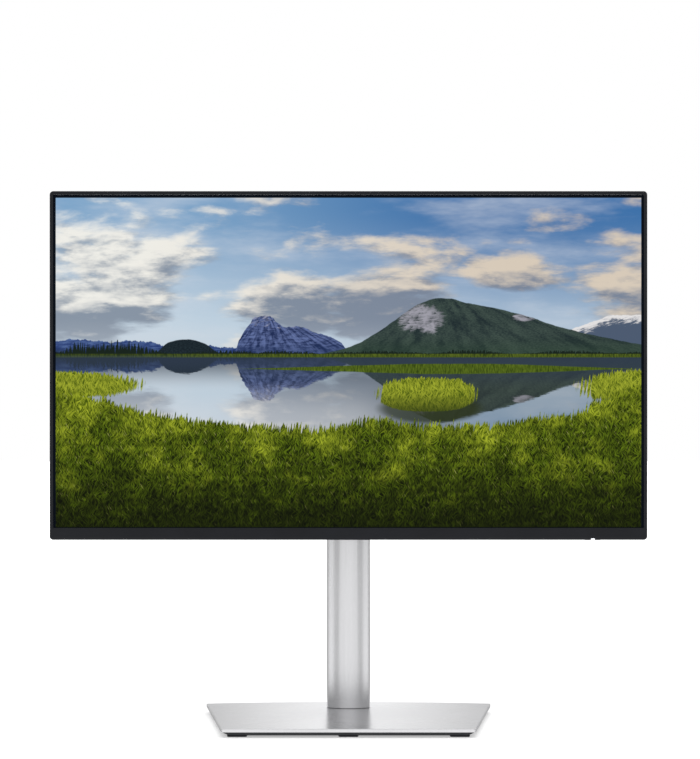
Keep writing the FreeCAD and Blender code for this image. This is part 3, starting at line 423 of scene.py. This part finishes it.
def rock_textures(tree, u, rise):
    """Noises that the ranges share: crag along the sky, rock and streak on the faces, woods."""
    return SimpleNamespace(
        crag=noise(tree, combine(tree, u * 70, 0.3), 1.0, 5.0, 0.65) - 0.5,
        rock=noise(tree, combine(tree, u * 55 + rise * 60, rise * 160 - u * 40), 1.0, 6.0, 0.7),
        streak=noise(tree, combine(tree, u * 90 - rise * 130, rise * 60 + u * 20), 1.0, 5.0, 0.7),
        woods=noise(tree, combine(tree, u * 260, rise * 420), 1.0, 4.0, 0.7),
    )


def skyline(u, rise, crag, points, jag):
    """How far a place lies below a ridge line drawn through (across, height) points."""
    ridge = u.curve([(across, height / RIDGE_SPAN) for across, height in points]) * RIDGE_SPAN
    return ridge + crag * jag - rise


def snowy_range(tree, u, rise, texture, colour):
    """The most distant range, on the right, with snow along its ridge."""
    points = [(0, 0), (0.84, 0.0), (0.885, 0.082), (0.925, 0.108), (0.96, 0.124), (1, 0.124)]
    below = skyline(u, rise, texture.crag, points, 0.014)
    snow = (texture.streak - below * 11.0).ramp(0.2, 0.42)
    face = mixed(tree, snow, paint(76, 90, 112), paint(226, 224, 224))
    return mixed(tree, below.ramp(0.0, EDGE_SOFTNESS), colour, face)


def blue_range(tree, u, rise, texture, colour):
    """A low, hazy range on the left."""
    points = [(0, 0.046), (0.03, 0.05), (0.1, 0.042), (0.14, 0.046), (0.19, 0.03), (0.31, 0.026),
              (0.5, 0.0), (1, 0.0)]
    below = skyline(u, rise, texture.crag, points, 0.03)
    lit = (texture.rock - rise * 3.0).ramp(0.2, 0.55)
    face = mixed(tree, lit, paint(84, 108, 158), paint(38, 58, 112))
    face = mixed(tree, rise.ramp(0.03, 0.005) * u.ramp(0.26, 0.1) * 0.75, face, paint(30, 44, 66))
    return mixed(tree, below.ramp(0.0, EDGE_SOFTNESS), colour, face)


def rocky_peak(tree, u, rise, texture, colour):
    """A bare peak left of the middle."""
    points = [(0, 0), (0.295, 0.0), (0.313, 0.05), (0.332, 0.098), (0.342, 0.118), (0.362, 0.121),
              (0.378, 0.101), (0.396, 0.087), (0.412, 0.089), (0.44, 0.072), (0.465, 0.06),
              (0.485, 0.043), (0.51, 0.008), (1, 0.0)]
    below = skyline(u, rise, texture.crag, points, 0.016)
    ribs = fan(tree, u, rise, 0.36, 0.15, 13, 24)
    lit = (texture.rock * 0.5 + ribs * 0.6).ramp(0.44, 0.66)
    face = mixed(tree, lit, paint(28, 42, 82), paint(98, 114, 162))
    snow = (texture.streak * 0.8 + rise * 2.4).ramp(0.64, 0.82) * 0.7
    face = mixed(tree, snow, face, paint(196, 196, 210))
    face = mixed(tree, rise.ramp(0.05, 0.0) * 0.6, face, paint(34, 52, 92))
    return mixed(tree, below.ramp(0.0, EDGE_SOFTNESS), colour, face)


def wooded_hill(tree, u, rise, texture, colour):
    """A small dark hill in front of the blue range."""
    points = [(0, 0.0), (0.155, 0.0), (0.195, 0.042), (0.222, 0.05), (0.25, 0.04), (0.29, 0.004),
              (1, 0.0)]
    below = skyline(u, rise, texture.crag, points, 0.004)
    forest = mixed(tree, texture.woods.ramp(0.35, 0.7), paint(16, 26, 34), paint(36, 50, 56))
    return mixed(tree, below.ramp(0.0, EDGE_SOFTNESS), colour, forest)


def great_mountain(tree, u, rise, texture, colour):
    """The broad mountain right of the middle, wooded, with bare rock under its summit."""
    points = [(0, 0.0), (0.42, 0.0), (0.47, 0.012), (0.507, 0.03), (0.541, 0.062), (0.57, 0.096),
              (0.601, 0.136), (0.623, 0.159), (0.66, 0.175), (0.704, 0.16), (0.755, 0.143),
              (0.807, 0.119), (0.858, 0.089), (0.926, 0.06), (1, 0.034)]
    below = skyline(u, rise, texture.crag, points, 0.007)
    unevenness = texture.rock - 0.5
    ribs = fan(tree, u + unevenness * 0.02, rise, 0.655, 0.24, 8, 16)
    lit = (texture.woods * 0.6 + ribs * 0.5).ramp(0.36, 0.76)
    face = mixed(tree, lit, paint(26, 40, 44), paint(70, 86, 78))
    face = mixed(tree, ribs.ramp(0.5, 0.34) * 0.4, face, paint(22, 34, 42))
    scar = blob(u + unevenness * 0.05, rise + (ribs - 0.5) * 0.09, 0.625, 0.112, 0.042, 0.05)
    ledge = blob(u + unevenness * 0.03, rise, 0.8, 0.115, 0.022, 0.014)
    bare = scar.high(ledge).ramp(0.05, 0.6) * (texture.rock * 0.5 + ribs * 0.5).ramp(0.36, 0.56)
    face = mixed(tree, bare * 0.85, face, paint(168, 166, 178))
    face = mixed(tree, rise.ramp(0.07, 0.0) * 0.4, face, paint(46, 70, 50))
    return mixed(tree, below.ramp(0.0, EDGE_SOFTNESS), colour, face)


def pine_line(tree, u, rise, colour):
    """Dark trees along the far shore, tallest on the left."""
    pines = noise(tree, combine(tree, u * 300, 7.0), 1.0, 3.0, 0.6)
    grove = noise(tree, combine(tree, u * 12, 3.0), 1.0, 2.0)
    tall = u.ramp(0.2, 0.1) * u.ramp(0.01, 0.04) * 0.03
    top = pines.ramp(0.32, 0.62) * (grove.ramp(0.3, 0.65) * 0.014 + tall) + 0.005
    return mixed(tree, (top - rise).ramp(0.0, 0.002), colour, paint(22, 34, 26))


def mountains(tree, u, rise, colour):
    """Ranges behind the far shore, from the most distant to the nearest."""
    texture = rock_textures(tree, u, rise)
    for layer in (snowy_range, blue_range, rocky_peak, wooded_hill, great_mountain):
        colour = layer(tree, u, rise, texture, colour)
    return pine_line(tree, u, rise, colour)


def lake(tree, across, down, water, colour):
    """Still water that mirrors what stands behind it, with a reedy bank and the far shore."""
    depth = down - HORIZON
    murk = across.ramp(0.3, 0.62) * 0.3 + 0.06
    tint = mixed(tree, murk, colour, paint(58, 66, 62))
    tint = mixed(tree, depth.ramp(0.11, 0.01) * 0.8, tint, paint(46, 58, 76))
    gleam = depth.ramp(0.07, 0.2) * across.ramp(0.62, 0.5) * 0.4
    tint = mixed(tree, gleam, tint, paint(222, 224, 226))
    colour = mixed(tree, water, colour, tint)

    blades = noise(tree, combine(tree, across * 420, down * 60), 1.0, 3.0, 0.6)
    shore_green = mixed(tree, blades.ramp(0.3, 0.7), paint(42, 56, 18), paint(88, 104, 32))
    shore = abs(depth - 0.001).ramp(0.0065, 0.0045) * across.ramp(-0.1, 0.4).high(0.45)
    colour = mixed(tree, shore, colour, shore_green)

    wander = noise(tree, combine(tree, across * 7, 1.0), 1.0, 4.0, 0.6) - 0.5
    half_height = across.ramp(0.29, 0.62, smooth=False) * across.ramp(1.06, 0.7) * 0.017
    bank = (half_height - abs(down - 0.519 + wander * 0.008)).ramp(0.0, EDGE_SOFTNESS)
    reeds = mixed(tree, blades.ramp(0.25, 0.75), paint(44, 62, 12), paint(92, 112, 30))
    return mixed(tree, bank, colour, reeds)


def grass(tree, across, down):
    """Fine blades that lean every way, for a field seen from a low eye."""
    bend = noise(tree, combine(tree, across * 34, down * 19, 2.0), 1.0, 2.0) - 0.5
    blades = None
    for i, (lean, fine, long) in enumerate(((0.3, 430, 36), (-0.4, 500, 44), (0.06, 590, 56))):
        sheared = across + down * lean + bend * 0.028
        layer = noise(tree, combine(tree, sheared * fine, down * long, 3.1 * i), 1.0, 2.0, 0.55)
        blades = layer if blades is None else blades.high(layer * (0.94 + 0.05 * i))
    return blades


def near_field(across, down, spikes, tuft):
    """1 on the near meadow, which ends in a ragged edge at the water."""
    edge = across.curve([(0.0, 0.585), (0.05, 0.6), (0.1, 0.627), (0.2, 0.665), (0.32, 0.69),
                         (0.45, 0.7), (0.55, 0.672), (0.62, 0.69), (0.74, 0.69), (0.82, 0.668),
                         (0.88, 0.66), (0.93, 0.615), (1.0, 0.575)])
    inside = down - edge + (spikes - 0.44) * 0.1 + (tuft - 0.5) * 0.04
    return inside.ramp(0.0, 0.006)


def reed_beds(across, down, spikes):
    """1 on the spit at each side and on the island, which stands in reeds."""
    spit = oval(across, down, -0.02, 0.568, 0.165, 0.042)
    cape = oval(across, down, 1.02, 0.575, 0.125, 0.055)
    isle = oval(across, down, 0.634, 0.598, 0.083, 0.052, power=2.6)
    raggedness = down.ramp(0.635, 0.6) * 0.5 + 0.1
    ragged = (spikes - 0.45) * 0.09 * raggedness
    return (spit.high(cape).high(isle) * 0.03 + ragged).ramp(0.0, 0.005)


def turf_colour(tree, across, down, clump, tuft, blades):
    """Grass in patches of sun and shade, darker towards the eye, with a few dry stems."""
    bright = mixed(tree, blades.ramp(0.44, 0.72), paint(54, 74, 2), paint(168, 180, 46))
    deep = mixed(tree, blades.ramp(0.46, 0.76), paint(16, 24, 1), paint(100, 122, 20))
    fade = down * -2.3 + 2.0
    sunny = (fade + (clump - 0.5) * 2.6 + (tuft - 0.5) * 1.3).ramp(0.0, 1.0)
    turf = mixed(tree, sunny, deep, bright)
    shadow = (down + (tuft - 0.5) * 0.3 - (clump - 0.5) * 0.3).ramp(0.72, 1.0) * 0.85
    turf = mixed(tree, shadow, turf, paint(8, 12, 3))
    straw = noise(tree, combine(tree, across * 520 - down * 170, down * 44, 5.0), 1.0, 1.0)
    stems = straw.ramp(0.66, 0.76) * (1.0 - shadow) * 0.4
    return mixed(tree, stems, turf, paint(206, 206, 120))


def meadow(tree, across, down, colour):
    """The near shore, with a spit on each side and a small island off it."""
    clump = noise(tree, combine(tree, across * 16, down * 9), 1.0, 4.0, 0.6)
    tuft = noise(tree, combine(tree, across * 44, down * 22), 1.0, 4.0, 0.6)
    spikes = noise(tree, combine(tree, across * 300 + down * 20, down * 6), 1.0, 3.0, 0.65)
    blades = grass(tree, across, down)

    shade_on_water = oval(across, down, 0.64, 0.64, 0.1, 0.05).ramp(0.0, 0.5) * 0.8
    colour = mixed(tree, shade_on_water, colour, paint(44, 52, 24))
    reeds = mixed(tree, blades.ramp(0.42, 0.7), paint(60, 80, 6), paint(160, 170, 48))
    reeds = mixed(tree, down.ramp(0.575, 0.655) * 0.85, reeds, paint(48, 60, 16))
    colour = mixed(tree, reed_beds(across, down, spikes), colour, reeds)
    turf = turf_colour(tree, across, down, clump, tuft, blades)
    return mixed(tree, near_field(across, down, spikes, tuft), colour, turf)


def screen_material(name):
    """The panel's front: a matt film over the glowing picture, with its black mask all round."""
    material, tree, shader = new_material(name)
    place = surface_place(tree)
    x, _, z = separate(tree, place)
    across = x / PICTURE_W + 0.5
    down = (PICTURE_TOP - z) / PICTURE_H
    inside = abs(across - 0.5).ramp(0.5002, 0.5) * abs(down - 0.5).ramp(0.5003, 0.5)
    picture = landscape(tree, across, down)
    geometry = tree.nodes.new("ShaderNodeNewGeometry")
    facing = Signal(tree, geometry.outputs["True Normal"])
    front = (separate(tree, facing)[1] * -1.0).ramp(0.5, 0.9)
    glow = mixed(tree, inside * front, paint(0, 0, 0), picture)
    plug(tree, glow, shader.inputs["Emission Color"])
    shader.inputs["Emission Strength"].default_value = PICTURE_GLOW
    haze = noise(tree, place, 9000.0, 2.0)
    mask = mixed(tree, haze.ramp(0.3, 0.7), paint(3, 9, 19), paint(6, 13, 24))
    plug(tree, mixed(tree, inside, mask, paint(1, 1, 1)), shader.inputs["Base Color"])
    plug(tree, haze * 0.1 + 0.42, shader.inputs["Roughness"])
    plug(tree, bumped(tree, haze, 0.004 * MM), shader.inputs["Normal"])
    shader.inputs["Specular IOR Level"].default_value = 0.04
    return material


# ---------------------------------------------------------------- which finish each slot gets
def build_finishes():
    """One material for each of the record's slots."""
    silver = (paint(196, 197, 199), paint(212, 213, 215))
    white = (paint(236, 237, 236), paint(247, 247, 245))
    zinc = (paint(176, 181, 186), paint(205, 208, 211))
    steel = (paint(182, 183, 186), paint(214, 214, 216))
    return {
        "satin_silver": satin_aluminium("satin_silver_blasted"),
        "silver_plastic": finish("silver_plastic_paint", *silver, rough=(0.34, 0.44), metallic=0.75,
                                 grain=0.25 * MM, relief=0.004 * MM, flakes=0.35),
        "base_black": moulded_black("base_black_grain", 26, (0.5, 0.66)),
        "bezel_black": moulded_black("bezel_black_grain", 20, (0.42, 0.56), 0.22, 0.3 * MM, 0.0008 * MM),
        "cover_black": moulded_black("cover_black_grain", 28, (0.42, 0.58), 0.35, 0.8 * MM),
        "trim_black": moulded_black("trim_black_satin", 22, (0.3, 0.42), 0.4, 0.3 * MM),
        "key_plastic": moulded_black("key_black_satin", 34, (0.32, 0.44), 0.45, 0.3 * MM),
        "light_lens": lens_material("light_lens_clear"),
        "screen": screen_material("screen_picture"),
        "sheet_white": finish("sheet_white_film", *white, rough=(0.5, 0.62), relief=0.003 * MM),
        "light_guide": finish("light_guide_acrylic", paint(214, 224, 224), paint(232, 240, 240),
                              rough=(0.08, 0.16), grain=1.4 * MM, relief=0.02 * MM, coat=0.4),
        "led_board": finish("led_board_white", paint(226, 222, 190), paint(244, 240, 214),
                            rough=(0.3, 0.42)),
        "zinc_steel": finish("zinc_steel_spangle", *zinc, rough=(0.26, 0.4), metallic=1.0,
                             grain=2.5 * MM, relief=0.006 * MM, patch=12 * MM),
        "bright_steel": finish("bright_steel_turned", *steel, rough=(0.18, 0.3), metallic=1.0,
                               grain=0.5 * MM, relief=0.008 * MM, stretch=(1, 12, 1)),
        "spring_steel": finish("spring_steel_blued", paint(88, 94, 108), paint(140, 144, 152),
                               rough=(0.2, 0.32), metallic=1.0, stretch=(8, 1, 1)),
        "black_screw": finish("black_screw_zinc", paint(34, 34, 37), paint(58, 58, 62),
                              rough=(0.3, 0.42), metallic=0.8, grain=0.3 * MM),
        "cast_metal": finish("cast_metal_skin", paint(150, 151, 154), paint(180, 181, 184),
                             rough=(0.42, 0.58), metallic=0.9, grain=1.2 * MM, relief=0.05 * MM),
        "nylon": finish("nylon_natural", paint(222, 218, 204), paint(238, 234, 222),
                        rough=(0.4, 0.5), grain=0.8 * MM, relief=0.01 * MM),
        "circuit_board": circuit_material("circuit_board_mask"),
        "flat_cable": finish("flat_cable_film", paint(206, 200, 182), paint(228, 222, 206),
                             rough=(0.34, 0.44), grain=0.6 * MM, stretch=(1, 0.05, 0.05)),
        "socket_metal": finish("socket_metal_nickel", paint(180, 178, 172), paint(208, 206, 200),
                               rough=(0.2, 0.32), metallic=1.0),
        "socket_black": moulded_black("socket_black_grain", 20, (0.4, 0.5)),
        "foot_rubber": moulded_black("foot_rubber_matt", 30, (0.75, 0.88), 0.2, 0.7 * MM),
    }


def assign_finishes(finishes):
    """Puts each CAD piece's finish on its mesh."""
    for part in record["subparts"]:
        mesh = nodes[part["node"]].data
        mesh.materials.clear()
        mesh.materials.append(finishes[part["material_slot"]])


# ---------------------------------------------------------------- fittings the CAD stands in for
def new_piece(name, vertices, faces, material, slot):
    """A smooth-shaded mesh in the frame."""
    mesh = bpy.data.meshes.new(name)
    mesh.from_pydata(vertices, [], faces)
    mesh.materials.append(material)
    mesh.polygons.foreach_set("use_smooth", [True] * len(mesh.polygons))
    mesh.update()
    piece = bpy.data.objects.new(name, mesh)
    bpy.context.scene.collection.objects.link(piece)
    return piece


def wire_along(path, radius, sides=8):
    """Vertices and faces of a round wire through a row of points, with closed ends."""
    vertices = []
    faces = []
    for i, point in enumerate(path):
        along = (path[min(i + 1, len(path) - 1)] - path[max(i - 1, 0)]).normalized()
        across = along.cross(Vector((0, 0, 1))).normalized()
        over = across.cross(along)
        for k in range(sides):
            angle = 2 * math.pi * k / sides
            vertices.append(point + (across * math.cos(angle) + over * math.sin(angle)) * radius)
    for i in range(len(path) - 1):
        for k in range(sides):
            here = i * sides + k
            beside = i * sides + (k + 1) % sides
            faces.append((here, beside, beside + sides, here + sides))
    faces.append(tuple(range(sides - 1, -1, -1)))
    faces.append(tuple(range(len(vertices) - sides, len(vertices))))
    return vertices, faces


def build_release_coils(finishes):
    """Wound springs in place of the catch's two plain tubes. In the monitor they shorten as the catch
    rises; here each is one fixed coil that rides with the catch.
    """
    low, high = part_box("release_springs")
    centre_y = (low.y + high.y) / 2
    outer = (high.y - low.y) / 2
    wire = 0.17 * MM
    reach = outer - wire
    turns, steps = 5, 20
    for name, side in (("release_coil_left", low.x + outer), ("release_coil_right", high.x - outer)):
        path = []
        for i in range(turns * steps + 1):
            angle = 2 * math.pi * i / steps
            share = i / (turns * steps)
            x = side + reach * math.cos(angle)
            y = centre_y + reach * math.sin(angle)
            height = low.z + wire + (high.z - low.z - 2 * wire) * share
            path.append(Vector((x, y, height)))
        coil = new_piece(name, *wire_along(path, wire), finishes["spring_steel"], "spring_steel")
        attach(coil, "release_catch")
        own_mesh(coil)
        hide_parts("release_springs")


def build_lift_strip(finishes):
    """The counterbalance strip, which in the monitor draws out of its drum as the head goes down; here
    it is one fixed, slightly curled sheet.
    """
    low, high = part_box("spring_strip")
    rows, columns = 48, 6
    vertices = []
    for i in range(rows + 1):
        z = high.z + (low.z - high.z) * i / rows
        for k in range(columns + 1):
            share = k / columns
            curl = 0.12 * MM * (2 * share - 1) ** 2
            vertices.append((low.x + (high.x - low.x) * share, low.y + curl, z))
    faces = []
    for i in range(rows):
        for k in range(columns):
            here = i * (columns + 1) + k
            faces.append((here, here + 1, here + columns + 2, here + columns + 1))
    strip = new_piece("lift_spring_strip", vertices, faces, finishes["spring_steel"], "spring_steel")
    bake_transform(strip)
    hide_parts("spring_strip")


# How far each moulded or folded CAD piece is rounded at its sharp edges
EDGE_ROUNDING = {
    "rear_cover": 0.8 * MM,
    "riser_rear_cover": 0.4 * MM,
    "hinge_shroud": 0.5 * MM,
    "cable_clip": 0.5 * MM,
    "mount_plate": 0.3 * MM,
    "base_cover": 0.3 * MM,
    "tilt_bracket": 0.3 * MM,
    "pivot_bracket": 0.3 * MM,
    "carriage": 0.3 * MM,
    "signal_ports": 0.12 * MM,
    "power_inlet": 0.2 * MM,
}


def round_edges():
    """Rounds the pieces in EDGE_ROUNDING with bevel modifiers, which leave the meshes as they are."""
    for name, width in EDGE_ROUNDING.items():
        bevel = nodes[name].modifiers.new("edge_rounding", "BEVEL")
        bevel.width = width
        bevel.segments = 2
        bevel.limit_method = "ANGLE"
        bevel.angle_limit = math.radians(28)


# ---------------------------------------------------------------- studio
def build_floor():
    """Pale paper that glows a little, more so far off, so that it meets the backdrop unseen."""
    material, tree, shader = new_material("studio_floor_paper")
    place = surface_place(tree)
    fibre = noise(tree, place, 900.0, 3.0)
    paper = mixed(tree, fibre, paint(204, 204, 204), paint(210, 210, 210))
    plug(tree, paper, shader.inputs["Base Color"])
    plug(tree, fibre * 0.1 + 0.85, shader.inputs["Roughness"])
    plug(tree, bumped(tree, fibre, 0.02 * MM), shader.inputs["Normal"])
    shader.inputs["Specular IOR Level"].default_value = 0.1
    x, y, _ = separate(tree, place)
    distance = (x * x + y * y).power(0.5)
    near_glow, far_glow = FLOOR_GLOW
    glow = distance.ramp(0.9, 2.6) * (far_glow - near_glow) + near_glow
    shader.inputs["Emission Color"].default_value = (1, 1, 1, 1)
    plug(tree, glow, shader.inputs["Emission Strength"])
    mesh = bpy.data.meshes.new("studio_floor")
    half = FLOOR_SIZE / 2
    mesh.from_pydata([(-half, -half, 0), (half, -half, 0), (half, half, 0), (-half, half, 0)], [],
                     [(0, 1, 2, 3)])
    mesh.materials.append(material)
    floor = bpy.data.objects.new("studio_floor", mesh)
    floor.visible_glossy = False
    bpy.context.scene.collection.objects.link(floor)


def build_surroundings():
    """White to the camera; to the object, a ring of soft boxes with a darker gap between them."""
    world = bpy.data.worlds.new("studio")
    bpy.context.scene.world = world
    world.use_nodes = True
    tree = world.node_tree
    background = tree.nodes["Background"]
    direction = Signal(tree, tree.nodes.new("ShaderNodeTexCoord").outputs["Generated"])
    x, y, z = separate(tree, direction)
    turn = abs(x.math("ARCTAN2", y * -1.0)) * (180 / math.pi)
    front = turn.ramp(43, 28) * 0.67
    side = turn.ramp(41, 52) * turn.ramp(82, 68) * 0.85
    table = (front + side + 0.52) * z.ramp(-0.01, -0.08)
    room = (turn.ramp(60, 100) * 0.1 + turn.ramp(40, 10) * 0.3 + 0.36) * z.ramp(-0.08, -0.01)
    card = turn.ramp(176.0, 179.4, smooth=False) * z.ramp(0.5, 0.3) * 0.82
    overhead = z.ramp(0.35, 0.8) * 0.6
    behind = turn.ramp(100, 120) * turn.ramp(168, 150) * z.ramp(0.12, 0.32) * z.ramp(0.75, 0.55) * 1.3
    level = table + room + card + overhead + behind
    seen = Signal(tree, tree.nodes.new("ShaderNodeLightPath").outputs["Is Camera Ray"])
    strength = level * (1.0 - seen) + seen * WALL_WHITE
    plug(tree, strength, background.inputs["Strength"])
    background.inputs["Color"].default_value = (1, 1, 1, 1)


def add_area_light(name, place, aim, size, power):
    """A rectangle of light that falls on the object but isn't mirrored in it."""
    data = bpy.data.lights.new(name, "AREA")
    data.shape = "RECTANGLE"
    data.size = size[0]
    data.size_y = size[1]
    data.energy = power
    light = bpy.data.objects.new(name, data)
    light.location = place
    light.rotation_euler = (Vector(aim) - Vector(place)).to_track_quat("-Z", "Y").to_euler()
    light.visible_camera = False
    light.visible_glossy = False
    bpy.context.scene.collection.objects.link(light)


def build_lights():
    """One large light above, one at each side in front, and one behind."""
    add_area_light("overhead_box", (0.0, -0.2, 2.2), (0, 0, 0), (2.6, 2.2), OVERHEAD_WATTS)
    add_area_light("left_box", (-2.2, -1.2, 1.2), (0, 0, 0.2), (1.0, 1.6), SIDE_WATTS)
    add_area_light("right_box", (2.2, -1.2, 1.2), (0, 0, 0.2), (1.0, 1.6), SIDE_WATTS)
    add_area_light("rear_box", (0.6, 2.2, 1.3), (0, 0, 0.25), (1.6, 1.2), REAR_WATTS)


def build_camera():
    """A long lens straight in front, a little below the middle of the screen."""
    head_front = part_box("front_bezel")[0].y
    camera = bpy.data.objects.new("camera", bpy.data.cameras.new("camera"))
    camera.location = (0.0, head_front - CAMERA_DISTANCE, CAMERA_HEIGHT)
    camera.rotation_euler = (math.radians(90), 0, 0)
    camera.data.lens = CAMERA_LENS
    camera.data.shift_x, camera.data.shift_y = CAMERA_SHIFT
    camera.data.clip_start = 0.05
    bpy.context.scene.collection.objects.link(camera)
    bpy.context.scene.camera = camera


finishes = build_finishes()
assign_finishes(finishes)
build_release_coils(finishes)
build_lift_strip(finishes)
round_edges()
build_floor()
build_surroundings()
build_lights()
build_camera()
bpy.context.scene.view_settings.view_transform = "Standard"
